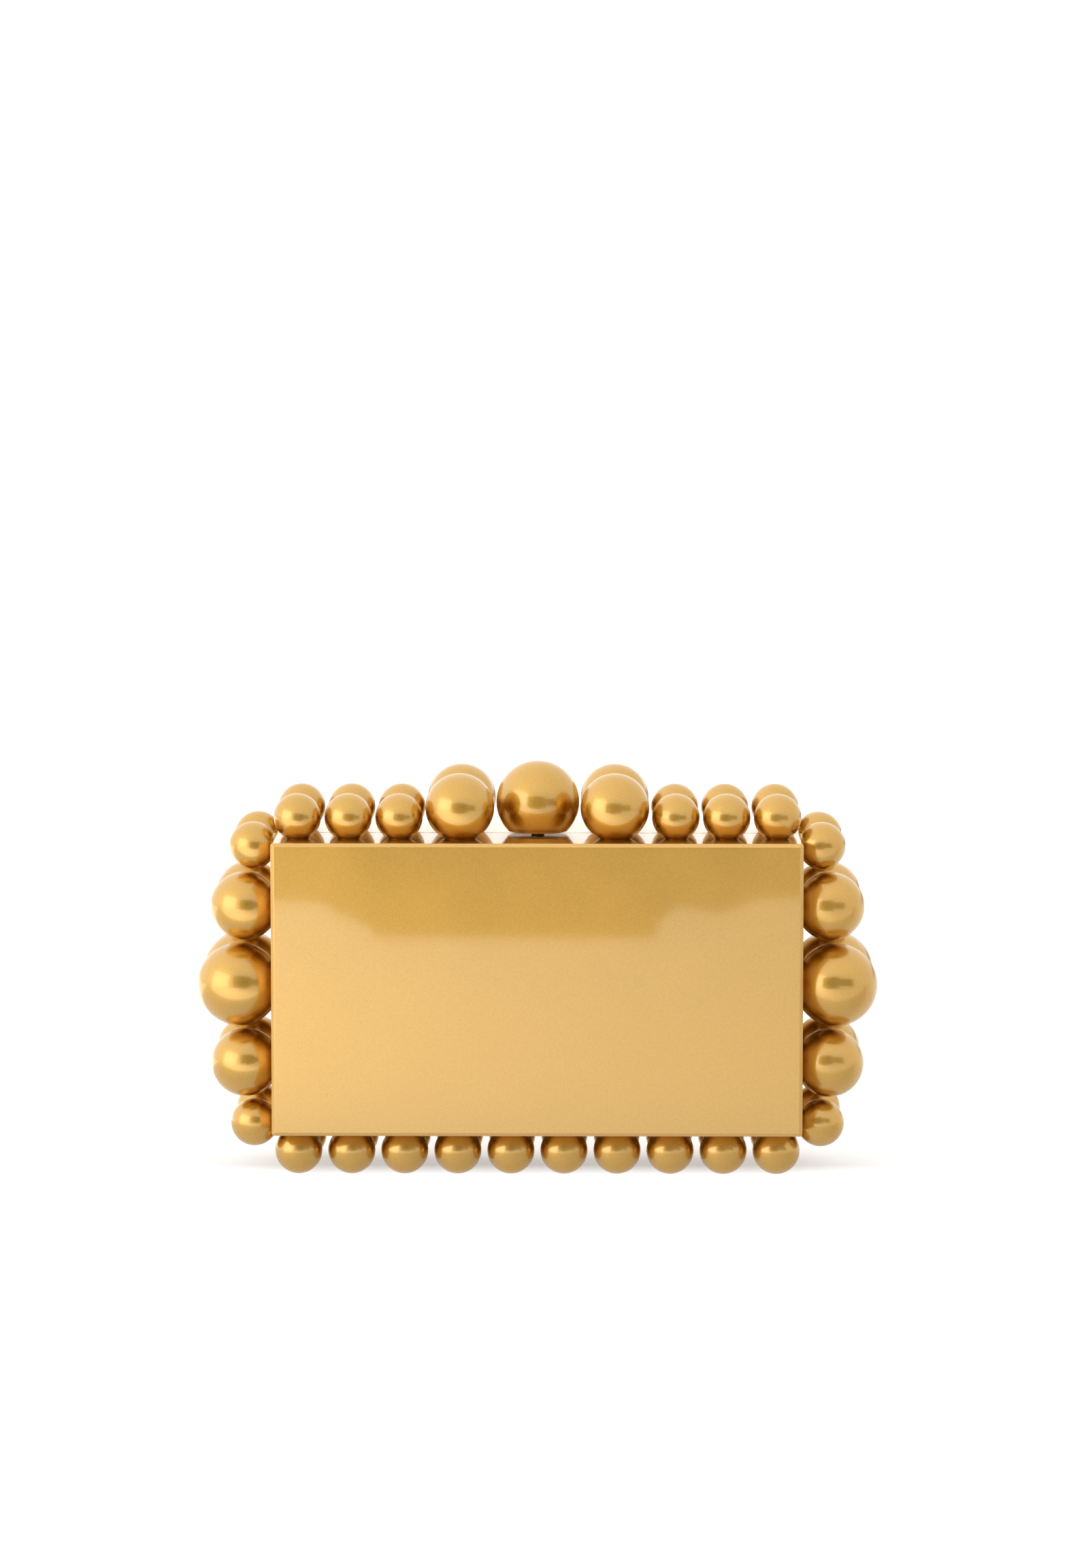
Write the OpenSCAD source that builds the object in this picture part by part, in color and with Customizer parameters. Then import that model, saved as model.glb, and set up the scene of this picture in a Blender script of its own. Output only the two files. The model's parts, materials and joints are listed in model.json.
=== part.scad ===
// Evening bag: a hard box clutch whose two halves are hinged along the bottom, edged with two
// rows of round beads, and held shut by a ball that is pressed down to let the front half go.
// Millimetres. X runs across the bag, -Y is the front, +Z is up.
// The origin is under the middle of the bag, at the height on which the lowest beads stand.

/* [Case] */
// Width of the case across its flat ends
case_w = 162; // [160:1:172]
// Depth of the closed case, from the front face to the back face
case_d = 56; // [56:1:62]
// Height of the case without its beads
case_h = 90; // [90:1:100]
// Thickness of the sheets that the case is bonded from
sheet_t = 3; // [3:0.1:3.6]
// Bevel round the outer face of each large panel
bevel = 1; // [0.3:0.1:1.5]
// Gap between the closed halves
seam = 0.2; // [0.1:0.05:0.4]

/* [Beads] */
// Radius of the small beads
small_r = 7.25; // [6.8:0.05:7.4]
// Radius of the medium beads
medium_r = 10.5; // [9.5:0.1:10.7]
// Radius of the large beads, one in the middle of each end
large_r = 12.75; // [12:0.05:12.9]
// Height of a top or bottom bead's centre off the case, as a share of its radius
top_rise = 0.9; // [0.8:0.01:0.95]
// Height of an end bead's centre off the case, as a share of its radius
end_rise = 0.82; // [0.75:0.01:0.9]
// Distance from the end of the case to the outermost top and bottom beads' centres
row_inset = 7.6; // [7.4:0.1:8]
// Spacing of the three small beads at each end of the top
top_pitch = 15.55; // [15:0.05:15.6]
// Distance of the top's medium beads from the middle of the bag
top_medium_x = 23.7; // [23.5:0.1:24]
// Height of the medium end beads above and below the middle of the case
end_medium_z = 24.2; // [24:0.1:24.5]
// Height of the corner beads above and below the middle of the case
corner_z = 42.85; // [42.6:0.05:43.2]
// Number of beads along the bottom of each half
bottom_count = 10; // [8:1:10]

/* [Clasp] */
// Radius of the clasp ball
ball_r = 12.75; // [12:0.05:13]
// Distance from the ball's centre down to its flat base
ball_cut = 8.9; // [8:0.1:9.5]
// Gap under the released ball, a little more than its travel
ball_gap = 0.8; // [0.75:0.05:1.5]
// Radius of the stem under the ball
stem_r = 2; // [1.8:0.1:2]

/* [Hinge] */
// Length of the hinge under the bottom of the case
hinge_l = 100; // [80:1:120]
// Radius of the hinge knuckles
knuckle_r = 2; // [1.8:0.1:2.2]
// Width of one hinge leaf, from the seam
leaf_w = 8.6; // [8:0.1:8.8]

/* [Strap rings] */
// Radius of the ring, at the middle of its wire
ring_r = 2.4; // [2.2:0.1:2.4]
// Radius of the ring's wire
ring_wire_r = 0.6; // [0.5:0.05:0.6]

/* [Hidden] */
$fn = 64;
gold = "#d8ab5b";
bead_gold = "#c9963f";
brass = "#c4a04f";
steel = "#b4b4b8";
slack = 0.03;
run_fit = 0.05;
open_gap = 0.3;
// How far a cutter runs past what it cuts
over = 1;

// Case
half_d = case_d / 2;
row_y = half_d / 2;
bottom_z = small_r * (1 + top_rise);
top_z = bottom_z + case_h;
mid_z = bottom_z + case_h / 2;
ceiling_z = top_z - sheet_t;
wall_d = half_d - sheet_t - seam / 2;

// Each half is a name and the side of the seam it is on; each end is a name and its X direction
HALVES = [["front", -1], ["back", 1]];
ENDS = [["left", -1], ["right", 1]];

// End beads of one row: name, radius, height from the middle of the case
END_BEADS = [
    ["top_corner_bead", small_r, corner_z],
    ["upper_bead", medium_r, end_medium_z],
    ["middle_bead", large_r, 0],
    ["lower_bead", medium_r, -end_medium_z],
    ["bottom_corner_bead", small_r, -corner_z]
];
small_top_x = [for (i = [0:2]) case_w / 2 - row_inset - i * top_pitch];
bottom_pitch = (case_w - 2 * row_inset) / (bottom_count - 1);
bottom_x = [for (i = [0:bottom_count - 1]) -case_w / 2 + row_inset + i * bottom_pitch];

// Dowel pins that hold the beads
pin_r = 1;
pin_in_sheet = 2;
pin_in_bead = 4;

// Screws
screw_r = 0.9;
screw_head_r = 1.7;
screw_in_sheet = 2.2;

// Hinge
leaf_t = 0.8;
knuckle_count = 5;
knuckle_pitch = hinge_l / knuckle_count;
hinge_z = bottom_z - knuckle_r - open_gap;
hinge_pin_r = 0.9;
hinge_pin_head_r = 1.5;
hinge_pin_head_t = 0.6;
hinge_screw_x = [-36, -12, 12, 36];
hinge_screw_y = 5.2;

// Clasp: the stem slides in the housing on the back half, and its catch holds the front's keeper
notch_gap = 0.6;
notch_r = stem_r + notch_gap;
collar_step = 1.1;
collar_r = stem_r + collar_step;
collar_t = 1.2;
collar_top_z = ceiling_z - open_gap;
pocket_gap = 0.1;
pocket_r = collar_r + pocket_gap;
pocket_h = 9;
floor_z = ceiling_z - pocket_h;
floor_t = 2;
nose_wall = 1.2;
nose_d = pocket_r + nose_wall;
nose_drop = 0.6;
housing_w = 14;
housing_d = 9;
flange_w = 28;
flange_t = 1.5;
flange_y = 1;
shank_w = 2.8;
round_foot_h = 1.2;
shank_top_z = floor_z + round_foot_h;
stem_in_ball = 6;
catch_t = 1;
catch_w = 10;
catch_drop = 1;
catch_z = floor_z - floor_t - catch_drop - catch_t;
catch_front = 8;
catch_back = 3;
upright_t = 1.1;
foot_r = 2.2;
foot_t = 1;
keeper_w = 12;
keeper_t = 1.2;
keeper_back = 16;
lip_t = 0.8;
lip_front = 6.2;
lip_h = 5;
hold = 0.5;
hook_top_z = ceiling_z - lip_h + hold;
housing_screw_x = 10.5;
housing_screw_y = 5;
keeper_screw_x = 3.5;
keeper_screw_y = 12;

// Return spring round the stem
coil_r = 2.65;
coil_wire_r = 0.3;
coil_turns = 5;
coil_steps = 16;
coil_sides = 8;
coil_low_z = floor_z + coil_wire_r + slack;
coil_high_z = collar_top_z - collar_t - coil_wire_r - slack;

// Strap lugs and rings on the back half's ends
lug_y = 3.2;
lug_drop = 2.6;
lug_z = top_z - lug_drop;
lug_base_r = 2.2;
lug_base_t = 0.8;
lug_eye_out = 2.2;
lug_ear_r = 1.9;
lug_ear_t = 1.6;
lug_eye_r = 1.05;

HALF_PARTS = ["panel", "top_wall", "bottom_wall", "left_wall", "right_wall", "bottom_beads", "bead_pins"];
END_PARTS = concat(["top_small_beads", "top_medium_bead"], [for (b = END_BEADS) b[0]]);
SHARED_PARTS = [
    "hinge_front_leaf", "hinge_back_leaf", "hinge_pin", "hinge_front_screws", "hinge_back_screws",
    "clasp_ball", "clasp_stem", "clasp_catch", "clasp_spring",
    "clasp_housing", "clasp_housing_screws", "clasp_keeper", "clasp_keeper_screws",
    "left_strap_lug", "right_strap_lug", "left_strap_ring", "right_strap_ring"
];

// ---- Places. Parts of a half are drawn for the back half, and mirrored for the front one ----

module half(h) {
    if (h[1] < 0)
        mirror([0, 1, 0]) children();
    else
        children();
}

// Stands its children on the outside of the case, with their own z = 0 on the face
module on_top(x, y = row_y) {
    translate([x, y, top_z]) children();
}

module on_bottom(x, y = row_y) {
    translate([x, y, bottom_z]) mirror([0, 0, 1]) children();
}

module on_end(side, z, y = row_y) {
    translate([side * case_w / 2, y, z]) rotate([0, side * 90, 0]) children();
}

// Stands its children under the top wall, pointing up into it
module under_ceiling(x, y) {
    translate([x, y, ceiling_z]) children();
}

// ---- Case ----

module bevelled_outline(w) {
    polygon([
        [-w / 2, half_d - sheet_t],
        [w / 2, half_d - sheet_t],
        [w / 2, half_d - bevel],
        [w / 2 - bevel, half_d],
        [-w / 2 + bevel, half_d],
        [-w / 2, half_d - bevel]
    ]);
}

module panel() {
    color(gold)
    intersection() {
        translate([0, 0, bottom_z]) linear_extrude(case_h) bevelled_outline(case_w);
        translate([0, 0, mid_z]) rotate([0, -90, 0]) linear_extrude(case_w, center = true)
            bevelled_outline(case_h);
    }
}

// Blind hole into a sheet, for a dowel pin
module pin_hole() {
    translate([0, 0, -pin_in_sheet]) cylinder(r = pin_r + slack, h = pin_in_sheet + over);
}

// Blind hole up into the top wall from inside, for a screw
module screw_hole() {
    translate([0, 0, -over]) cylinder(r = screw_r + slack, h = screw_in_sheet + over);
}

module wall_plate(z) {
    translate([-case_w / 2 + sheet_t, seam / 2, z]) cube([case_w - 2 * sheet_t, wall_d, sheet_t]);
}

module top_wall(h) {
    color(gold)
    difference() {
        wall_plate(ceiling_z);
        translate([0, 0, ceiling_z - over]) cylinder(r = notch_r, h = sheet_t + 2 * over);
        for (side = [-1, 1]) {
            on_top(side * top_medium_x) pin_hole();
            for (x = small_top_x)
                on_top(side * x) pin_hole();
            if (h[1] > 0)
                under_ceiling(side * housing_screw_x, housing_screw_y) screw_hole();
            else
                under_ceiling(side * keeper_screw_x, keeper_screw_y) screw_hole();
        }
    }
}

module bottom_wall() {
    color(gold)
    difference() {
        wall_plate(bottom_z);
        for (x = bottom_x)
            on_bottom(x) pin_hole();
        for (x = hinge_screw_x)
            on_bottom(x, hinge_screw_y) translate([0, 0, -screw_in_sheet])
                cylinder(r = screw_r + slack, h = screw_in_sheet + over);
    }
}

module end_wall(h, side) {
    inner_x = case_w / 2 - sheet_t;
    color(gold)
    difference() {
        translate([side > 0 ? inner_x : -case_w / 2, seam / 2, bottom_z])
            cube([sheet_t, wall_d, case_h]);
        for (b = END_BEADS)
            on_end(side, mid_z + b[2]) pin_hole();
        if (h[1] > 0)
            on_end(side, lug_z, lug_y) pin_hole();
    }
}

// ---- Beads: round beads with a flat seat and a blind hole for their dowel pin ----

module bead(r, rise) {
    color(bead_gold)
    difference() {
        translate([0, 0, rise * r]) sphere(r = r);
        translate([-r, -r, -2 * r]) cube([2 * r, 2 * r, 2 * r]);
        translate([0, 0, -over]) cylinder(r = pin_r + slack, h = pin_in_bead + over);
    }
}

module top_small_beads(side) {
    for (x = small_top_x)
        on_top(side * x) bead(small_r, top_rise);
}

module top_medium_bead(side) {
    on_top(side * top_medium_x) bead(medium_r, top_rise);
}

module bottom_beads() {
    for (x = bottom_x)
        on_bottom(x) bead(small_r, top_rise);
}

module end_bead(side, b) {
    on_end(side, mid_z + b[2]) bead(b[1], end_rise);
}

module dowel() {
    end_play = 0.2;
    translate([0, 0, -pin_in_sheet + end_play])
        cylinder(r = pin_r, h = pin_in_sheet + pin_in_bead - 2 * end_play);
}

module bead_pins() {
    color(steel) {
        for (x = bottom_x)
            on_bottom(x) dowel();
        for (side = [-1, 1]) {
            on_top(side * top_medium_x) dowel();
            for (x = small_top_x)
                on_top(side * x) dowel();
            for (b = END_BEADS)
                on_end(side, mid_z + b[2]) dowel();
        }
    }
}

// ---- Hinge: two leaves under the bottom walls, on one pin ----

// Stretch of the hinge axis that knuckle i takes up
module knuckle(i, r, gap) {
    translate([-hinge_l / 2 + i * knuckle_pitch + gap / 2, 0, hinge_z]) rotate([0, 90, 0])
        cylinder(r = r, h = knuckle_pitch - gap);
}

// The leaf has the knuckles whose number is even or odd, and is cut clear of the others
module hinge_leaf(parity) {
    color(brass)
    difference() {
        union() {
            translate([-hinge_l / 2, seam, bottom_z - leaf_t]) cube([hinge_l, leaf_w - seam, leaf_t]);
            for (i = [0:knuckle_count - 1])
                if (i % 2 == parity)
                    knuckle(i, knuckle_r, open_gap);
        }
        for (i = [0:knuckle_count - 1])
            if (i % 2 != parity)
                knuckle(i, knuckle_r + open_gap, -open_gap);
        translate([-hinge_l, 0, hinge_z]) rotate([0, 90, 0])
            cylinder(r = hinge_pin_r + run_fit, h = 2 * hinge_l);
        for (x = hinge_screw_x)
            on_bottom(x, hinge_screw_y) {
                translate([0, 0, -over]) cylinder(r = screw_r + slack, h = leaf_t + 2 * over);
                cylinder(r1 = screw_r + slack, r2 = screw_head_r + slack, h = leaf_t);
            }
    }
}

module hinge_pin() {
    color(steel)
    translate([0, 0, hinge_z]) rotate([0, 90, 0]) {
        cylinder(r = hinge_pin_r, h = hinge_l + 2 * hinge_pin_head_t, center = true);
        for (side = [-1, 1])
            translate([0, 0, side * (hinge_l + hinge_pin_head_t) / 2])
                cylinder(r = hinge_pin_head_r, h = hinge_pin_head_t, center = true);
    }
}

module hinge_screws() {
    color(steel)
    for (x = hinge_screw_x)
        on_bottom(x, hinge_screw_y) {
            cylinder(r1 = screw_r, r2 = screw_head_r, h = leaf_t);
            translate([0, 0, slack - screw_in_sheet]) cylinder(r = screw_r, h = screw_in_sheet);
        }
}

// ---- Clasp ----

module clasp_ball() {
    base_z = top_z + ball_gap;
    color(bead_gold)
    difference() {
        translate([0, 0, base_z + ball_cut]) sphere(r = ball_r);
        translate([-ball_r, -ball_r, base_z - 2 * ball_r]) cube([2 * ball_r, 2 * ball_r, 2 * ball_r]);
        translate([0, 0, base_z - over]) cylinder(r = stem_r + slack, h = stem_in_ball + over + slack);
    }
}

module clasp_stem() {
    stem_top_z = top_z + ball_gap + stem_in_ball;
    color(steel) {
        translate([0, 0, shank_top_z]) cylinder(r = stem_r, h = stem_top_z - shank_top_z);
        translate([0, 0, collar_top_z - collar_t]) cylinder(r = collar_r, h = collar_t);
        translate([-shank_w / 2, -shank_w / 2, catch_z])
            cube([shank_w, shank_w, shank_top_z - catch_z]);
        translate([0, 0, catch_z - foot_t]) cylinder(r = foot_r, h = foot_t);
    }
}

// Plate on the foot of the stem, turned up at the front into a sloped hook
module clasp_catch() {
    color(brass)
    difference() {
        rotate([90, 0, 90]) linear_extrude(catch_w, center = true)
            polygon([
                [-catch_front, catch_z],
                [catch_back, catch_z],
                [catch_back, catch_z + catch_t],
                [-catch_front + upright_t, catch_z + catch_t],
                [-catch_front + upright_t, hook_top_z],
                [-catch_front + upright_t - lip_t / 2, hook_top_z],
                [-catch_front, hook_top_z - upright_t]
            ]);
        translate([-shank_w / 2 - slack, -shank_w / 2 - slack, catch_z - over])
            cube([shank_w + 2 * slack, shank_w + 2 * slack, catch_t + 2 * over]);
    }
}

// A point of the spring's skin: step i along the wire, side j round it
function coil_point(i, j) =
    let (turn = 360 * i / coil_steps, round = 360 * j / coil_sides)
    let (r = coil_r + coil_wire_r * cos(round))
    let (rise = (coil_high_z - coil_low_z) * i / (coil_turns * coil_steps))
    [r * cos(turn), r * sin(turn), coil_low_z + rise + coil_wire_r * sin(round)];

module clasp_spring() {
    last = coil_turns * coil_steps;
    points = [for (i = [0:last]) for (j = [0:coil_sides - 1]) coil_point(i, j)];
    skin = [
        for (i = [0:last - 1]) for (j = [0:coil_sides - 1])
            let (k = (j + 1) % coil_sides)
            [i * coil_sides + j, i * coil_sides + k, (i + 1) * coil_sides + k, (i + 1) * coil_sides + j]
    ];
    start = [for (j = [coil_sides - 1:-1:0]) j];
    end = [for (j = [0:coil_sides - 1]) last * coil_sides + j];
    color(steel) polyhedron(points = points, faces = concat(skin, [start], [end]));
}

module clasp_housing() {
    base_z = floor_z - floor_t;
    color(brass)
    difference() {
        union() {
            translate([-housing_w / 2, -nose_d, base_z])
                cube([housing_w, nose_d + housing_d, ceiling_z - nose_drop - base_z]);
            translate([-housing_w / 2, seam, base_z])
                cube([housing_w, housing_d - seam, ceiling_z - base_z]);
            translate([-flange_w / 2, flange_y, ceiling_z - flange_t])
                cube([flange_w, housing_d - flange_y, flange_t]);
        }
        translate([0, 0, floor_z]) cylinder(r = pocket_r, h = ceiling_z);
        translate([-shank_w / 2 - run_fit, -shank_w / 2 - run_fit, base_z - over])
            cube([shank_w + 2 * run_fit, shank_w + 2 * run_fit, floor_t + 2 * over]);
        for (side = [-1, 1])
            translate([side * housing_screw_x, housing_screw_y, ceiling_z - flange_t - over])
                cylinder(r = screw_r + slack, h = flange_t + 2 * over);
    }
}

// Screw with a low round head, pointing up, its head under the plate of thickness t
module ceiling_screw(t) {
    head_t = 0.8;
    slot_w = 0.4;
    slot_d = 0.4;
    difference() {
        union() {
            translate([0, 0, -t - head_t]) cylinder(r = screw_head_r, h = head_t);
            translate([0, 0, -t]) cylinder(r = screw_r, h = t + screw_in_sheet - slack);
        }
        translate([-screw_head_r, -slot_w / 2, -t - head_t - over])
            cube([2 * screw_head_r, slot_w, slot_d + over]);
    }
}

module clasp_housing_screws() {
    color(steel)
    for (side = [-1, 1])
        under_ceiling(side * housing_screw_x, housing_screw_y) ceiling_screw(flange_t);
}

// Drawn in place on the front half, under its top wall
module clasp_keeper() {
    lip_back = lip_front - lip_t;
    color(brass)
    difference() {
        union() {
            translate([-keeper_w / 2, -keeper_back, ceiling_z - keeper_t])
                cube([keeper_w, keeper_back - lip_back, keeper_t]);
            translate([-keeper_w / 2, -lip_front, ceiling_z - lip_h]) cube([keeper_w, lip_t, lip_h]);
        }
        for (side = [-1, 1])
            translate([side * keeper_screw_x, -keeper_screw_y, ceiling_z - keeper_t - over])
                cylinder(r = screw_r + slack, h = keeper_t + 2 * over);
    }
}

module clasp_keeper_screws() {
    color(steel)
    for (side = [-1, 1])
        under_ceiling(side * keeper_screw_x, -keeper_screw_y) ceiling_screw(keeper_t);
}

// ---- Strap lugs and rings ----

module strap_lug(side) {
    color(brass)
    on_end(side, lug_z, lug_y)
    difference() {
        union() {
            cylinder(r = lug_base_r, h = lug_base_t);
            translate([0, 0, slack - pin_in_sheet]) cylinder(r = pin_r, h = pin_in_sheet);
            translate([-lug_ear_r, -lug_ear_t / 2, 0]) cube([2 * lug_ear_r, lug_ear_t, lug_eye_out]);
            translate([0, 0, lug_eye_out]) rotate([90, 0, 0])
                cylinder(r = lug_ear_r, h = lug_ear_t, center = true);
        }
        translate([0, 0, lug_eye_out]) rotate([90, 0, 0])
            cylinder(r = lug_eye_r, h = lug_ear_t + 2 * over, center = true);
    }
}

// Hangs from the middle of the lug's eye, in a plane along the end of the case
module strap_ring(side) {
    color(brass)
    translate([side * (case_w / 2 + lug_eye_out), lug_y, lug_z - ring_r]) rotate([0, 90, 0])
        rotate_extrude() translate([ring_r, 0]) circle(r = ring_wire_r);
}

// ---- Drawing ----

for (h = HALVES) {
    half(h) panel();
    half(h) top_wall(h);
    half(h) bottom_wall();
    half(h) end_wall(h, -1);
    half(h) end_wall(h, 1);
    half(h) bottom_beads();
    half(h) bead_pins();
    for (e = ENDS) {
        name = str(h[0], "_", e[0], "_");
        half(h) top_small_beads(e[1]);
        half(h) top_medium_bead(e[1]);
        for (b = END_BEADS)
            half(h) end_bead(e[1], b);
    }
}
half(HALVES[0]) hinge_leaf(1);  // hinge_front_leaf
hinge_leaf(0);  // hinge_back_leaf
hinge_pin();
half(HALVES[0]) hinge_screws();  // hinge_front_screws
hinge_screws();  // hinge_back_screws
clasp_ball();
clasp_stem();
clasp_catch();
clasp_spring();
clasp_housing();
clasp_housing_screws();
clasp_keeper();
clasp_keeper_screws();
strap_lug(-1);  // left_strap_lug
strap_lug(1);  // right_strap_lug
strap_ring(-1);  // left_strap_ring
strap_ring(1);  // right_strap_ring
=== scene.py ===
import json
import math

import bmesh
import bpy
from mathutils import Matrix, Vector


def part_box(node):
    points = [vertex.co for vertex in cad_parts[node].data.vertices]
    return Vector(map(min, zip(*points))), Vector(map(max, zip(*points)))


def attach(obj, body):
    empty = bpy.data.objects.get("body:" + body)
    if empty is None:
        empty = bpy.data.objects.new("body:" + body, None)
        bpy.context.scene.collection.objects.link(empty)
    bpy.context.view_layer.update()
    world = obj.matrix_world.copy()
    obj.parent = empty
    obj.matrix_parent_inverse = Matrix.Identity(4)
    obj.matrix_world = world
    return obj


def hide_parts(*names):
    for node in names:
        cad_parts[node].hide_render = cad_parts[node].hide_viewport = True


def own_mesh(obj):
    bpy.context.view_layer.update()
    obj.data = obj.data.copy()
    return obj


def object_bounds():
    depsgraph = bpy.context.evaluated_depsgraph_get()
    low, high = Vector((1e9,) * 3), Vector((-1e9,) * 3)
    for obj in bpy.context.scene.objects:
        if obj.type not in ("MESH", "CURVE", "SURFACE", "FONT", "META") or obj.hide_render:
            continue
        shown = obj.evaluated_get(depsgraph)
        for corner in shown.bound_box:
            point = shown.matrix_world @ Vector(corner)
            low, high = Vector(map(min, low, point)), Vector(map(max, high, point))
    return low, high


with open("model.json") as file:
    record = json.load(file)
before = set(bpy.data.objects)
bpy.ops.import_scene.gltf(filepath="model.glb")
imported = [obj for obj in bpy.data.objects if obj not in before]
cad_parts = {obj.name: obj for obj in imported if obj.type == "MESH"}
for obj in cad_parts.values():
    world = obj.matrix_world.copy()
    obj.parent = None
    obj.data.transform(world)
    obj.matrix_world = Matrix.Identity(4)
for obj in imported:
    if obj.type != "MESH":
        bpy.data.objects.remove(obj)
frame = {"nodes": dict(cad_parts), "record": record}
cad_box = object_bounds()

MM = 0.001
HALVES = (("front", -1), ("back", 1))
ENDS = (("left", -1), ("right", 1))
END_BEADS = ("top_corner_bead", "upper_bead", "middle_bead", "lower_bead", "bottom_corner_bead")
SMALL_BEADS_PER_TOP_ROW = 3
SMALL_BEADS_ALONG_BOTTOM = 10

# Case
CORNER_ROUND = 0.8 * MM
SMALLEST_ROUND = 0.05 * MM
BEVEL = 1.0 * MM
BEVEL_SOFTENING = 0.16 * MM
CLOSED_GAP = 0.02 * MM
SEAM_EASING = 0.45 * MM
INNER_EASING = 0.15 * MM
# How far the notch for the clasp's stem stays inside the spring's outer radius
NOTCH_INSET = 0.35 * MM
NOTCH_STEPS = 16
# Points closer than this to a plane lie on it
ON_PLANE = 0.01 * MM
# Edges shorter than this are slivers left by rounding, and are dissolved
SLIVER = 0.001 * MM

# Beads: those with a radius over LARGE_BEAD are drawn with more facets
SEAT_EASING = 0.08 * MM
LARGE_BEAD = 9 * MM
LARGE_BEAD_SEGMENTS = 72
SMALL_BEAD_SEGMENTS = 56

# Screws
HINGE_SCREWS_PER_LEAF = 4
CLASP_SCREWS = 2
SHANK_RADIUS = 0.9 * MM
SHANK_POINT = 0.3 * MM
HEAD_EDGE = 0.05 * MM
ROUND_HEAD_HEIGHT = 0.8 * MM
SCREW_SEGMENTS = 40
SLOT_WIDTH = 0.45 * MM
SLOT_DEPTH = 0.3 * MM
# Degrees by which each screw in a row was left turned
SLOT_TURNS = (20, 75, -35, 50)

# Other hardware
METAL_EASING = 0.12 * MM
RING_STEPS = 96
RING_SIDES = 20
RING_GAP = math.radians(2.5)
SPRING_WIRE = 0.3 * MM
SPRING_TURNS = 7
SPRING_STEPS_PER_TURN = 28
SPRING_SIDES = 12
# Rise of a closed end turn, in wire radii
CLOSED_TURN = 2.2
# A wire's cut ends are eased to this share of its radius
CUT_END = 0.7

# Studio, in metres
FLOOR_REACH = 12.0
FLOOR_OPACITY = 0.6
FLAG_DISTANCE = 0.30
FLAG_TOPS = {"front": 0.235, "back": 0.115}
BOARD_DISTANCE = 0.07
BOARD_REACH = 1.2
BOARD_HEIGHT = 0.5 * MM


# ---- Materials ----

class Graph:
    """Adds shader nodes to one material, or to the world, and joins them."""

    def __init__(self, owner, shader="Principled BSDF", coordinates="Object"):
        owner.use_nodes = True
        self.owner = owner
        self.nodes = owner.node_tree.nodes
        self.links = owner.node_tree.links
        self.shader = self.nodes[shader]
        self.place = self.nodes.new("ShaderNodeTexCoord").outputs[coordinates]

    def set(self, **values):
        for name, value in values.items():
            self.shader.inputs[name.replace("_", " ")].default_value = value

    def node(self, kind, inputs=(), **settings):
        made = self.nodes.new(kind)
        for name, value in settings.items():
            setattr(made, name, value)
        for name, value in dict(inputs).items():
            if isinstance(value, bpy.types.NodeSocket):
                self.links.new(value, made.inputs[name])
            else:
                made.inputs[name].default_value = value
        return made

    def noise(self, size, detail=2.0, roughness=0.5):
        """Value from 0 to 1 that varies over about size metres."""
        inputs = {"Vector": self.place, "Scale": 1 / size, "Detail": detail, "Roughness": roughness}
        return self.node("ShaderNodeTexNoise", inputs).outputs["Fac"]

    def stretch(self, value, low, high, start=0.0, end=1.0):
        """Value from start to end turned into low to high."""
        inputs = {"Value": value, "From Min": start, "From Max": end, "To Min": low, "To Max": high}
        return self.node("ShaderNodeMapRange", inputs).outputs["Result"]

    def pits(self, spacing, radius):
        """Value that drops below 0 in a round pit in some of the cells of a grid, and is 0 elsewhere."""
        cells = self.node("ShaderNodeTexVoronoi", {"Vector": self.place, "Scale": 1 / spacing})
        inside = self.math("LESS_THAN", cells.outputs["Distance"], radius / spacing)
        return self.math("MULTIPLY", inside, -1.0)

    def math(self, operation, a, b):
        made = self.node("ShaderNodeMath", {0: a, 1: b}, operation=operation)
        return made.outputs["Value"]

    def tint(self, amount, low, high):
        """Colour between low, where amount is 0, and high, where it is 1."""
        inputs = {"Factor": amount, 6: (*low, 1), 7: (*high, 1)}
        return self.node("ShaderNodeMix", inputs, data_type="RGBA").outputs[2]

    def bump(self, height, depth):
        """Normal of a surface whose height, from 0 to 1, stands for depth metres."""
        inputs = {"Height": height, "Distance": depth, "Strength": 1.0}
        return self.node("ShaderNodeBump", inputs).outputs["Normal"]

    def along(self, axis):
        """The place along one axis."""
        return self.node("ShaderNodeSeparateXYZ", {"Vector": self.place}).outputs[axis]

    def join(self, value, name):
        self.links.new(value, self.shader.inputs[name])


def new_material(name):
    return Graph(bpy.data.materials.new(name))


def lacquer(name, deep, pale, roughness, coat_ior, coat_roughness):
    """Metallic lacquer: fine flake under a clear coat with a little orange peel, and dust pits in both."""
    g = new_material(name)
    g.set(Metallic=1.0, Coat_Weight=1.0, Coat_Roughness=coat_roughness, Coat_IOR=coat_ior)
    cloud = g.stretch(g.noise(22 * MM, detail=3.0), 0.0, 1.0, 0.3, 0.7)
    flake = g.stretch(g.noise(0.45 * MM, detail=3.0, roughness=0.65), 0.0, 1.0, 0.25, 0.75)
    shade = g.math("ADD", g.stretch(cloud, 0.0, 0.15), g.stretch(flake, 0.0, 0.85))
    g.join(g.tint(shade, deep, pale), "Base Color")
    rough = g.math("ADD", g.stretch(cloud, *roughness), g.stretch(flake, -0.05, 0.05))
    g.join(rough, "Roughness")
    pits = g.pits(spacing=9 * MM, radius=0.22 * MM)
    g.join(g.bump(g.math("ADD", flake, g.math("MULTIPLY", pits, 4.0)), 0.006 * MM), "Normal")
    peel = g.noise(3.5 * MM, detail=1.0)
    g.join(g.bump(g.math("ADD", peel, g.math("MULTIPLY", pits, 8.0)), 0.003 * MM), "Coat Normal")
    return g.owner


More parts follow.
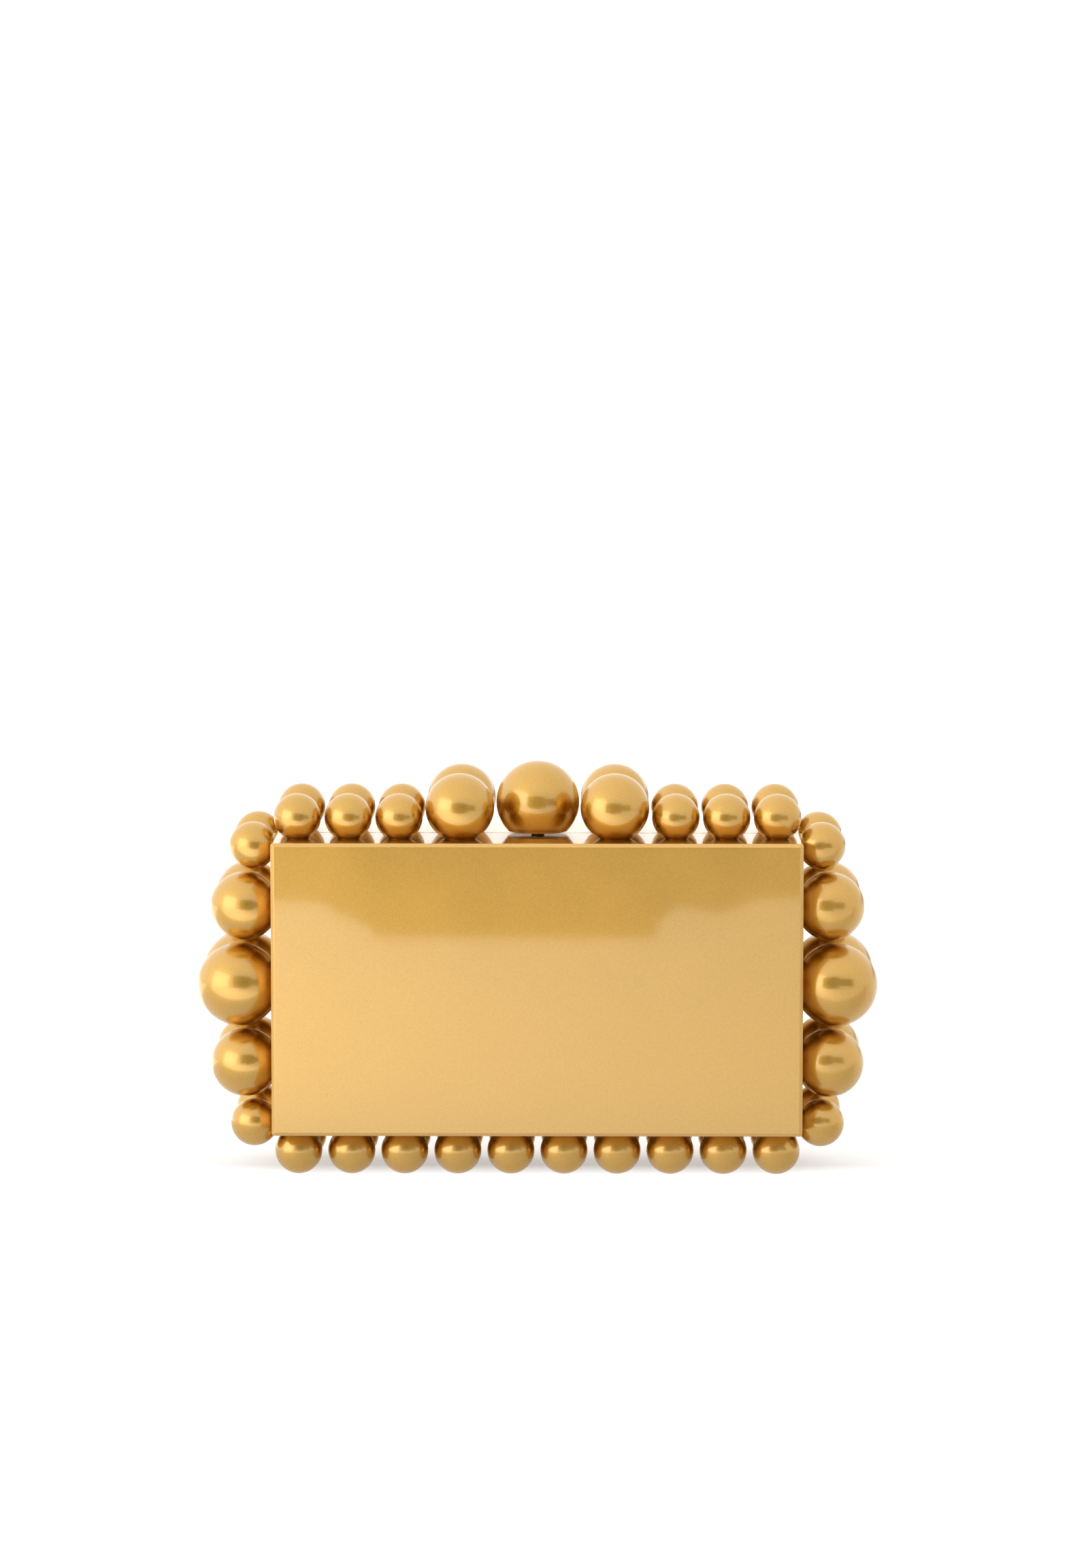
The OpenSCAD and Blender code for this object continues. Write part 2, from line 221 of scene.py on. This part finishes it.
def brushed_metal(name, deep, pale, roughness, grain):
    """Bare metal with a fine grain drawn out along X, and dulled in patches."""
    g = new_material(name)
    g.set(Metallic=1.0)
    g.place = g.node("ShaderNodeMapping", {"Vector": g.place, "Scale": (0.08, 1, 1)}).outputs["Vector"]
    lines = g.noise(grain, detail=3.0, roughness=0.7)
    patches = g.noise(4 * MM, detail=2.0)
    g.join(g.tint(g.stretch(patches, 0.1, 0.9), deep, pale), "Base Color")
    dulled = g.stretch(patches, roughness, roughness + 0.1)
    g.join(g.math("ADD", g.stretch(lines, -0.06, 0.06), dulled), "Roughness")
    g.join(g.bump(lines, 0.004 * MM), "Normal")
    return g.owner


def fading_sheet(name, colour, opacity):
    """The floor: pale, matt and milky. It fades out in front, where the open front half hangs below it."""
    g = new_material(name)
    g.set(Roughness=0.9)
    grain = g.noise(60 * MM, detail=4.0)
    g.join(g.tint(grain, [0.97 * c for c in colour], colour), "Base Color")
    g.join(g.stretch(g.along("Y"), 0.0, opacity, cad_box[0].y, 0.0), "Alpha")
    return g.owner


def graded_cloth(name, stops):
    """A studio flag's dull cloth: stops are pairs of x and brightness there. The brightness graded along X
    is a painted reflection: it sets how light or dark the flag shows in the polished surfaces.
    """
    g = new_material(name)
    g.set(Roughness=1.0, Specular_IOR_Level=0.0)
    low, high = stops[0][0], stops[-1][0]
    ramp = g.node("ShaderNodeValToRGB", {"Fac": g.stretch(g.along("X"), 0.0, 1.0, low, high)})
    elements = ramp.color_ramp.elements
    while len(elements) < len(stops):
        elements.new(0.5)
    for element, (place, brightness) in zip(elements, stops):
        element.position = (place - low) / (high - low)
        element.color = (brightness, brightness, brightness, 1)
    g.join(ramp.outputs["Color"], "Base Color")
    return g.owner


def glowing_board(name, strength):
    """A studio board that gives off white light and reflects none."""
    g = new_material(name)
    g.set(Base_Color=(0, 0, 0, 1), Specular_IOR_Level=0.0, Emission_Color=(1, 1, 1, 1))
    g.set(Emission_Strength=strength)
    return g


MATERIALS = {
    "case_lacquer": lacquer(
        "case_lacquer", deep=(0.65, 0.392, 0.074), pale=(0.81, 0.496, 0.112),
        roughness=(0.40, 0.46), coat_ior=2.0, coat_roughness=0.06,
    ),
    "bead_lacquer": lacquer(
        "bead_lacquer", deep=(0.58, 0.323, 0.014), pale=(0.74, 0.418, 0.032),
        roughness=(0.33, 0.40), coat_ior=2.2, coat_roughness=0.13,
    ),
    "brass": brushed_metal(
        "brass", deep=(0.62, 0.42, 0.15), pale=(0.76, 0.56, 0.24), roughness=0.18, grain=0.4 * MM
    ),
    "steel": brushed_metal(
        "steel", deep=(0.48, 0.48, 0.50), pale=(0.62, 0.62, 0.64), roughness=0.24, grain=0.4 * MM
    ),
}


# ---- Mesh helpers ----

def add_piece(name, bm, body, slot, replaced, sharp_angle=math.radians(40)):
    """Turns a bmesh into a piece that rides on a body, stands for CAD nodes and has its slot's finish."""
    bmesh.ops.dissolve_degenerate(bm, dist=SLIVER, edges=bm.edges)
    bmesh.ops.recalc_face_normals(bm, faces=bm.faces)
    mesh = bpy.data.meshes.new(name)
    bm.to_mesh(mesh)
    bm.free()
    mesh.shade_smooth()
    mesh.set_sharp_from_angle(angle=sharp_angle)
    mesh.materials.append(MATERIALS[slot])
    piece = bpy.data.objects.new(name, mesh)
    bpy.context.scene.collection.objects.link(piece)
    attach(piece, body)
    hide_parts(*replaced)
    return piece


def even_flats(piece):
    """Keeps large flat faces flat in shading where they run into small rounded edges."""
    modifier = piece.modifiers.new("even_flats", "WEIGHTED_NORMAL")
    modifier.keep_sharp = True
    return piece


def soften(profile, reach, steps=3):
    """Rounds the corners of an open line of 2-D points, starting reach before each corner."""
    line = [profile[0]]
    for before, corner, after in zip(profile, profile[1:], profile[2:]):
        start = corner + (before - corner).normalized() * reach
        end = corner + (after - corner).normalized() * reach
        for i in range(steps + 1):
            t = i / steps
            line.append(start * (1 - t) ** 2 + corner * 2 * t * (1 - t) + end * t * t)
    line.append(profile[-1])
    return line


def rounded_rectangle(low, high, radius, steps=6):
    """Points round a rectangle with rounded corners, anticlockwise from the middle of the right side."""
    points = []
    for turn, corner in enumerate(((1, 1), (0, 1), (0, 0), (1, 0))):
        x = high[0] - radius if corner[0] else low[0] + radius
        y = high[1] - radius if corner[1] else low[1] + radius
        for i in range(steps + 1):
            angle = math.pi / 2 * (turn + i / steps)
            points.append((x + radius * math.cos(angle), y + radius * math.sin(angle)))
    return points


def join_rings(bm, rings, close=True):
    """Skins a list of rings of vertices, and caps both ends."""
    for ring, after in zip(rings, rings[1:]):
        for i in range(len(ring)):
            j = (i + 1) % len(ring)
            bm.faces.new((ring[i], ring[j], after[j], after[i]))
    if close:
        bm.faces.new(rings[0])
        bm.faces.new(rings[-1])


def facing(outward):
    """The turn that takes +Z to outward."""
    return Vector((0, 0, 1)).rotation_difference(outward).to_matrix()


def turned_circles(bm, seat, outward, profile, segments):
    """Circles round the axis outward from the point seat. Its profile is (distance off axis, height)."""
    turn = facing(outward)
    circles = []
    for across, height in profile:
        circle = []
        for i in range(segments):
            angle = 2 * math.pi * i / segments
            point = Vector((across * math.cos(angle), across * math.sin(angle), height))
            circle.append(bm.verts.new(seat + turn @ point))
        circles.append(circle)
    return circles


def prism(bm, outline, place):
    """Extruded outline: place turns (u, v, 0 or 1) into a point."""
    rings = [[bm.verts.new(place(u, v, end)) for u, v in outline] for end in (0, 1)]
    join_rings(bm, rings)


def bevel_edges(bm, chosen, width, segments=2):
    """Rounds the edges that chosen(middle of the edge, its direction) picks."""
    edges = []
    for edge in bm.edges:
        a, b = (v.co for v in edge.verts)
        if chosen((a + b) / 2, (b - a).normalized()):
            edges.append(edge)
    bmesh.ops.bevel(bm, geom=edges, offset=width, segments=segments, profile=0.5, affect="EDGES")


# ---- Case ----

def build_panel(half, side):
    """Large sheet with a bevelled outer face and slightly rounded corners."""
    low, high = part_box(f"{half}_panel")
    outer, inner = (low.y, high.y) if side < 0 else (high.y, low.y)
    corners = [(0, abs(outer - inner)), (0, BEVEL), (BEVEL, 0), (2 * BEVEL, 0)]
    profile = soften([Vector(c) for c in corners], BEVEL_SOFTENING)
    bm = bmesh.new()
    rings = []
    for inset, depth in profile:
        radius = max(CORNER_ROUND - inset, SMALLEST_ROUND)
        outline = rounded_rectangle((low.x + inset, low.z + inset), (high.x - inset, high.z - inset), radius)
        rings.append([bm.verts.new((x, outer - side * depth, z)) for x, z in outline])
    join_rings(bm, rings)
    name = f"{half}_panel_sheet"
    return even_flats(add_piece(name, bm, f"{half}_half", "case_lacquer", [f"{half}_panel"]))


def wall_box(node, side):
    """A wall's box, drawn out to the parting plane so that no daylight shows through the closed seam."""
    low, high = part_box(node)
    if side < 0:
        high.y = -CLOSED_GAP / 2
    else:
        low.y = CLOSED_GAP / 2
    return low, high


def build_end_wall(half, side, end, end_side):
    """Sheet at one end: its outer corners are rounded and its rim at the seam is eased."""
    node = f"{half}_{end}_wall"
    low, high = wall_box(node, side)
    rim = high.y if side < 0 else low.y
    rounded = rounded_rectangle((low.x, low.z), (high.x, high.z), CORNER_ROUND)
    middle = (low.x + high.x) / 2
    inner_x = low.x if end_side > 0 else high.x
    outline = [(x, z) for x, z in rounded if (x - middle) * end_side > 0]
    outline += [(inner_x, high.z), (inner_x, low.z)]
    outline.sort(key=lambda p: math.atan2(p[1] - (low.z + high.z) / 2, p[0] - middle))
    bm = bmesh.new()
    prism(bm, outline, lambda x, z, t: (x, low.y + t * (high.y - low.y), z))

    def on_rim(middle):
        return abs(middle.y - rim) < ON_PLANE

    def inside(middle, direction):
        return abs(middle.x - inner_x) < ON_PLANE and abs(direction.z) > 0.5

    bevel_edges(bm, lambda m, d: on_rim(m) and not inside(m, d), SEAM_EASING)
    bevel_edges(bm, lambda m, d: on_rim(m) and inside(m, d), INNER_EASING)
    return even_flats(add_piece(f"{half}_{end}_sheet", bm, f"{half}_half", "case_lacquer", [node]))


def build_top_wall(half, side):
    """Sheet along the top, with half of the round notch that the clasp's stem passes through."""
    node = f"{half}_top_wall"
    low, high = wall_box(node, side)
    rim, joint = (high.y, low.y) if side < 0 else (low.y, high.y)
    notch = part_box("clasp_spring")[1].x - NOTCH_INSET
    start = math.asin(abs(rim) / notch)
    arc = []
    for i in range(NOTCH_STEPS + 1):
        angle = start + (math.pi - 2 * start) * i / NOTCH_STEPS
        arc.append((notch * math.cos(angle), side * notch * math.sin(angle)))
    outline = [(high.x, rim), *arc, (low.x, rim), (low.x, joint), (high.x, joint)]
    bm = bmesh.new()
    prism(bm, outline, lambda x, y, t: (x, y, low.z + t * (high.z - low.z)))

    def on_rim(middle, direction):
        return abs(middle.x) < high.x - MM / 2 and abs(middle.y - joint) > MM and abs(direction.z) < 0.5

    bevel_edges(bm, lambda m, d: on_rim(m, d) and m.z > high.z - MM, SEAM_EASING)
    bevel_edges(bm, lambda m, d: on_rim(m, d) and m.z < low.z + MM, INNER_EASING)
    return even_flats(add_piece(f"{half}_top_sheet", bm, f"{half}_half", "case_lacquer", [node]))


def build_bottom_wall(half, side):
    """Sheet along the bottom."""
    node = f"{half}_bottom_wall"
    low, high = wall_box(node, side)
    rim = high.y if side < 0 else low.y
    outline = [(low.x, low.y), (high.x, low.y), (high.x, high.y), (low.x, high.y)]
    bm = bmesh.new()
    prism(bm, outline, lambda x, y, t: (x, y, low.z + t * (high.z - low.z)))

    def on_rim(middle, direction):
        return abs(middle.y - rim) < ON_PLANE and abs(direction.z) < 0.5

    bevel_edges(bm, lambda m, d: on_rim(m, d) and m.z < low.z + MM, SEAM_EASING)
    bevel_edges(bm, lambda m, d: on_rim(m, d) and m.z > high.z - MM, INNER_EASING)
    return even_flats(add_piece(f"{half}_bottom_sheet", bm, f"{half}_half", "case_lacquer", [node]))


# ---- Beads ----

def bead_profile(radius, rise, rings):
    """Distance from the axis and height off the seat, from the far pole to the rim of the flat seat."""
    last = math.acos((SEAT_EASING - rise) / radius)
    line = []
    for i in range(1, rings + 1):
        angle = last * i / rings
        line.append((radius * math.sin(angle), rise + radius * math.cos(angle)))
    rim = line[-1][0]
    for i in range(1, 4):
        angle = math.pi / 2 * i / 3
        line.append((rim - SEAT_EASING * (1 - math.cos(angle)), SEAT_EASING * (1 - math.sin(angle))))
    return line


def lathe_bead(bm, seat, outward, radius, rise, segments):
    """Round bead with a flat seat, standing on the point seat and pointing outward."""
    circles = turned_circles(bm, seat, outward, bead_profile(radius, rise, segments // 2), segments)
    join_rings(bm, circles, close=False)
    bm.faces.new(circles[-1])
    pole = bm.verts.new(seat + facing(outward) @ Vector((0, 0, rise + radius)))
    for i in range(segments):
        bm.faces.new((circles[0][i], circles[0][(i + 1) % segments], pole))


def build_beads(node, body, outward, count=1):
    """A node's row of beads along X, or its one bead, standing on the case and pointing outward."""
    low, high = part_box(node)
    radius = (high.y - low.y) / 2
    along = Vector([abs(c) for c in outward])
    far = sum(max(c * l, c * h) for c, l, h in zip(outward, low, high))
    near = sum(min(c * l, c * h) for c, l, h in zip(outward, low, high))
    rise = far - near - radius
    middle = (low + high) / 2
    bm = bmesh.new()
    for i in range(count):
        centre = middle.copy()
        if count > 1:
            centre.x = low.x + radius + (high.x - low.x - 2 * radius) * i / (count - 1)
        seat = centre - along * centre.dot(along) + outward * near
        segments = LARGE_BEAD_SEGMENTS if radius > LARGE_BEAD else SMALL_BEAD_SEGMENTS
        lathe_bead(bm, seat, outward, radius, rise, segments)
    return add_piece(f"{node}_lacquered", bm, body, "bead_lacquer", [node])


def build_half(half, side):
    body = f"{half}_half"
    build_panel(half, side)
    build_top_wall(half, side)
    build_bottom_wall(half, side)
    build_beads(f"{half}_bottom_beads", body, Vector((0, 0, -1)), SMALL_BEADS_ALONG_BOTTOM)
    for end, end_side in ENDS:
        build_end_wall(half, side, end, end_side)
        build_beads(f"{half}_{end}_top_small_beads", body, Vector((0, 0, 1)), SMALL_BEADS_PER_TOP_ROW)
        build_beads(f"{half}_{end}_top_medium_bead", body, Vector((0, 0, 1)))
        for bead in END_BEADS:
            build_beads(f"{half}_{end}_{bead}", body, Vector((end_side, 0, 0)))


# ---- Hardware ----

def carve(piece, cutter_mesh):
    """Cuts a shape out of a piece."""
    cutter = bpy.data.objects.new("cutter", cutter_mesh)
    bpy.context.scene.collection.objects.link(cutter)
    modifier = piece.modifiers.new("carve", "BOOLEAN")
    modifier.object = cutter
    modifier.solver = "EXACT"
    shown = piece.evaluated_get(bpy.context.evaluated_depsgraph_get())
    carved = bpy.data.meshes.new_from_object(shown)
    piece.modifiers.clear()
    piece.data = carved
    carved.set_sharp_from_angle(angle=math.radians(35))
    bpy.data.objects.remove(cutter)


def build_screws(node, body, count, profile):
    """A node's row of slotted screws along X, with their heads at the bottom."""
    low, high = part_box(node)
    radius = (high.y - low.y) / 2
    places = [low.x + radius + (high.x - low.x - 2 * radius) * i / (count - 1) for i in range(count)]
    middle_y = (low.y + high.y) / 2
    bm = bmesh.new()
    slots = bmesh.new()
    for i, x in enumerate(places):
        seat = Vector((x, middle_y, low.z))
        outline = profile(radius, high.z - low.z)
        join_rings(bm, turned_circles(bm, seat, Vector((0, 0, 1)), outline, SCREW_SEGMENTS))
        turn = Matrix.Rotation(math.radians(SLOT_TURNS[i % len(SLOT_TURNS)]), 4, "Z")
        size = Matrix.Diagonal((3 * radius, SLOT_WIDTH, 2 * SLOT_DEPTH, 1))
        bmesh.ops.create_cube(slots, size=1, matrix=Matrix.Translation(seat) @ turn @ size)
    piece = add_piece(f"{node}_slotted", bm, body, "steel", [node])
    cutter = bpy.data.meshes.new("slots")
    slots.to_mesh(cutter)
    slots.free()
    carve(piece, cutter)


def shank_profile(head, length):
    """A screw's shank, from under its head to its blunt point."""
    return [(SHANK_RADIUS, head), (SHANK_RADIUS, length - SHANK_POINT), (SHANK_RADIUS - SHANK_POINT, length)]


def countersunk_profile(radius, length):
    """Flat head flush with its plate, on a shank."""
    return [(radius - HEAD_EDGE, 0), (radius, HEAD_EDGE)] + shank_profile(radius - SHANK_RADIUS, length)


def round_head_profile(radius, length):
    """Low domed head under its plate, on a shank."""
    dome = []
    for angle in (0.35, 0.7, 1.05, 1.35, math.pi / 2):
        dome.append((radius * math.sin(angle), ROUND_HEAD_HEIGHT * 0.75 * (1 - math.cos(angle))))
    return dome + [(radius, ROUND_HEAD_HEIGHT)] + shank_profile(ROUND_HEAD_HEIGHT, length)


def tube(bm, path, radius, sides):
    """Round wire along a list of points."""
    rings = []
    across = Vector((0, 0, 1))
    for i, point in enumerate(path):
        ahead = (path[min(i + 1, len(path) - 1)] - path[max(i - 1, 0)]).normalized()
        across = (across - ahead * across.dot(ahead)).normalized()
        up = ahead.cross(across)
        reach = radius * (CUT_END if i in (0, len(path) - 1) else 1.0)
        ring = []
        for j in range(sides):
            angle = 2 * math.pi * j / sides
            ring.append(bm.verts.new(point + reach * (across * math.cos(angle) + up * math.sin(angle))))
        rings.append(ring)
    join_rings(bm, rings)


def build_ring(end):
    """Jump ring bent from round wire, with its ends meeting at the bottom."""
    node = f"{end}_strap_ring"
    low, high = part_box(node)
    middle = (low + high) / 2
    wire = (high.x - low.x) / 2
    radius = (high.z - low.z) / 2 - wire
    path = []
    for i in range(RING_STEPS + 1):
        angle = RING_GAP / 2 + (2 * math.pi - RING_GAP) * i / RING_STEPS - math.pi / 2
        path.append(middle + Vector((0, radius * math.cos(angle), radius * math.sin(angle))))
    bm = bmesh.new()
    tube(bm, path, wire, RING_SIDES)
    add_piece(f"{end}_jump_ring", bm, f"{end}_ring", "brass", [node], math.radians(60))


def build_spring():
    """Return spring round the stem, which the ball compresses when pressed; here it is drawn at one length.
    Its end turns are closed.
    """
    low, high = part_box("clasp_spring")
    radius = (high.x - low.x) / 2 - SPRING_WIRE
    closed = CLOSED_TURN * SPRING_WIRE
    free = high.z - low.z - 2 * SPRING_WIRE - 2 * closed
    path = []
    for i in range(SPRING_TURNS * SPRING_STEPS_PER_TURN + 1):
        turn = i / SPRING_STEPS_PER_TURN
        share = min(max((turn - 1) / (SPRING_TURNS - 2), 0.0), 1.0)
        ends = min(turn, 1.0) + max(turn - SPRING_TURNS + 1, 0.0)
        height = low.z + SPRING_WIRE + closed * ends + free * share
        angle = 2 * math.pi * turn
        path.append(Vector((radius * math.cos(angle), radius * math.sin(angle), height)))
    bm = bmesh.new()
    tube(bm, path, SPRING_WIRE, SPRING_SIDES)
    spring = add_piece("return_spring", bm, "back_half", "steel", ["clasp_spring"], math.radians(60))
    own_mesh(spring)


def finish_cad_nodes():
    """Gives each CAD node that still shows its own slot's finish, and eases its edges."""
    slots = {part["node"]: part["material_slot"] for part in frame["record"]["subparts"]}
    for name, node in frame["nodes"].items():
        if node.hide_render:
            continue
        node.data.materials.clear()
        node.data.materials.append(MATERIALS[slots[name]])
        weld = node.modifiers.new("weld", "WELD")
        weld.merge_threshold = SLIVER
        ease = node.modifiers.new("ease", "BEVEL")
        ease.width = METAL_EASING
        ease.segments = 2
        ease.limit_method = "ANGLE"
        ease.angle_limit = math.radians(40)
        clean = node.modifiers.new("clean", "WELD")
        clean.merge_threshold = SLIVER


def build_hardware():
    for half, _ in HALVES:
        build_screws(f"hinge_{half}_screws", f"{half}_half", HINGE_SCREWS_PER_LEAF, countersunk_profile)
    build_screws("clasp_housing_screws", "back_half", CLASP_SCREWS, round_head_profile)
    build_screws("clasp_keeper_screws", "front_half", CLASP_SCREWS, round_head_profile)
    for end, _ in ENDS:
        build_ring(end)
    build_spring()
    finish_cad_nodes()


# ---- Studio ----

def link(obj):
    bpy.context.scene.collection.objects.link(obj)
    return obj


def add_camera():
    """Camera in front of the bag and a little above it, with a long lens, looking slightly down."""
    data = bpy.data.cameras.new("camera")
    data.sensor_width = 36
    data.lens = 130.64
    camera = link(bpy.data.objects.new("camera", data))
    camera.location = (0.0183, -1.7405, 0.3151)
    camera.rotation_euler = (math.radians(90 - 6.43), 0, math.radians(0.55))
    bpy.context.scene.camera = camera


def flat_piece(name, points, material):
    """A stage surface from its corner points."""
    mesh = bpy.data.meshes.new(name)
    mesh.from_pydata(points, [], [range(len(points))])
    mesh.materials.append(material)
    obj = link(bpy.data.objects.new(name, mesh))
    return obj


def add_floor():
    corners = [(x * FLOOR_REACH, y * FLOOR_REACH, 0) for x, y in ((-1, -1), (1, -1), (1, 1), (-1, 1))]
    flat_piece("floor", corners, fading_sheet("floor_sheet", (0.93, 0.93, 0.93), FLOOR_OPACITY))


def only_in_reflections(obj):
    obj.visible_camera = False
    obj.visible_diffuse = False
    obj.visible_shadow = False


def add_flag(name, points, stops):
    """A flag that only reflections see, so that the polished surfaces have something dark to show."""
    only_in_reflections(flat_piece(name, points, graded_cloth(name + "_cloth", stops)))


def add_flags():
    """Dark flags in front of the bag and lower ones behind it. Their outlines are (x, z) in metres."""
    left = [
        (-0.17, 0.047), (-0.082, 0.046), (-0.062, 0.036), (-0.060, 0.033), (0.039, 0.033), (0.041, 0.040),
        (0.047, 0.0445), (0.063, 0.042), (0.076, 0.047), (0.14, 0.050),
    ]
    right = [(0.142, 0.085), (0.44, 0.062), (0.44, 0.215), (0.142, 0.200)]
    # Painted reflection: the flags' brightness graded along x, lighter towards the far left end
    left_tones = [
        (-0.17, 0.60), (-0.10, 0.46), (-0.06, 0.37), (0.04, 0.35), (0.075, 0.40), (0.14, 0.46),
    ]
    right_tones = [(0.142, 0.40), (0.44, 0.40)]
    for (name, side), face in zip(HALVES, cad_box):
        y = face.y + side * FLAG_DISTANCE
        top = FLAG_TOPS[name]
        closed = left + [(0.14, top), (-0.17, top)]
        add_flag(f"{name}_left_flag", [(x, y, z) for x, z in closed], left_tones)
        add_flag(f"{name}_right_flag", [(x, y, min(z, top)) for x, z in right], right_tones)


def add_reflectors():
    """White boards lying in front of and behind the bag, brighter on the side that the light comes from."""
    g = glowing_board("reflector_board", 1.0)
    g.join(g.stretch(g.along("X"), 1.68, 1.02, -0.15, 0.15), "Emission Strength")
    for (name, side), face in zip(HALVES, cad_box):
        near = face.y + side * BOARD_DISTANCE
        far = side * BOARD_REACH
        ground = [(-BOARD_REACH, near), (BOARD_REACH, near), (BOARD_REACH, far), (-BOARD_REACH, far)]
        corners = [(x, y, BOARD_HEIGHT) for x, y in ground]
        only_in_reflections(flat_piece(f"{name}_reflector", corners, g.owner))


def add_backdrop():
    """Bright board behind the bag that only reflections see: it whitens the back of the top face."""
    corners = [(-0.7, 1.1, 0.15), (0.7, 1.1, 0.15), (0.7, 1.1, 0.34), (-0.7, 1.1, 0.34)]
    only_in_reflections(flat_piece("backdrop", corners, glowing_board("backdrop_board", 1.4).owner))


def add_softbox(name, location, aim, size, power):
    light = bpy.data.lights.new(name, "AREA")
    light.shape = "RECTANGLE"
    light.size = size[0]
    light.size_y = size[1]
    light.energy = power
    obj = link(bpy.data.objects.new(name, light))
    obj.location = location
    obj.rotation_euler = (Vector(aim) - Vector(location)).to_track_quat("-Z", "Y").to_euler()


def add_lights():
    """White surroundings, brighter on the left, dimmer below and plain to the camera, and a softbox."""
    g = Graph(bpy.data.worlds.new("studio"), shader="Background", coordinates="Generated")
    g.set(Color=(1, 1, 1, 1))
    sideways = g.stretch(g.along("X"), 1.30, 0.98, -1, 1)
    below = g.stretch(g.along("Z"), 0.72, 1.0, -0.05, 0.0)
    seen = g.stretch(g.node("ShaderNodeLightPath").outputs["Is Camera Ray"], 0, 1.3)
    g.join(g.math("MAXIMUM", g.math("MULTIPLY", sideways, below), seen), "Strength")
    bpy.context.scene.world = g.owner
    add_softbox("key_softbox", (-1.1, -0.8, 0.35), (0, 0, 0.06), (1.2, 1.0), 3)


def set_view():
    """Plain tones, with the middle ones a little darker."""
    bpy.context.scene.view_settings.view_transform = "Standard"
    bpy.context.scene.view_settings.gamma = 0.85


for half_name, half_side in HALVES:
    build_half(half_name, half_side)
build_beads("clasp_ball", "clasp", Vector((0, 0, 1)))
build_hardware()
add_floor()
add_flags()
add_reflectors()
add_backdrop()
add_lights()
add_camera()
set_view()
